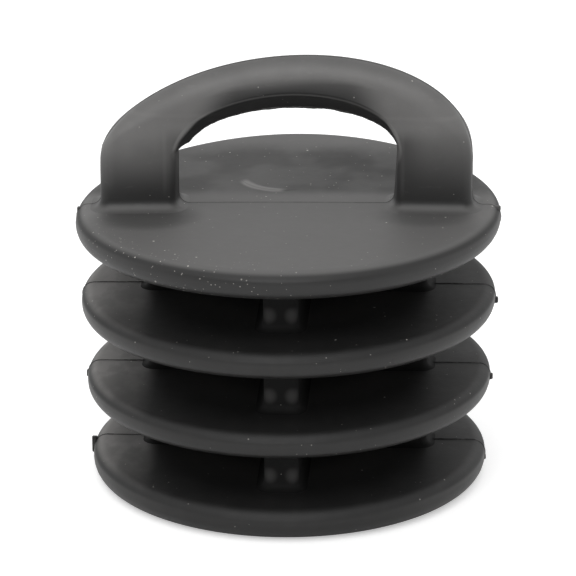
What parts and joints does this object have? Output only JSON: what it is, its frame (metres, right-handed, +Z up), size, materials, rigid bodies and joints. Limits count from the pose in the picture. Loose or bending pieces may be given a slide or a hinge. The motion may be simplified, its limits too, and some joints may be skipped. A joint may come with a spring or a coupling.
{
  "type": "scupper plug",
  "caption": "Push-in rubber scupper plug with an arched finger grip over a round cover flange and a ribbed body of sealing discs on cross-shaped stems.",
  "frame": {"origin": "centre of the underside of the lowest disc, which is the centre of the bounding box's bottom", "axes": "+Z up through the grip, X along the grip in the plane where the mould halves meet, +Y through the finger opening to the back"},
  "size_m": [0.045, 0.045, 0.0462],
  "materials": {
    "grip_rubber": "matt black moulded rubber with a soft sheen on the arch",
    "flange_rubber": "matt black moulded rubber, faintly smudged, with specks of dust",
    "disc_rubber": "matt black moulded rubber with rounded rims",
    "stem_rubber": "matt black moulded rubber, unlit between the discs"
  },
  "bodies": {
    "root": {"grip_arch": "grip_rubber", "cover_flange": "flange_rubber", "upper_stem": "stem_rubber", "upper_sealing_disc": "disc_rubber", "middle_stem": "stem_rubber", "middle_sealing_disc": "disc_rubber", "lower_stem": "stem_rubber", "lower_sealing_disc": "disc_rubber"}
  },
  "joints": []
}
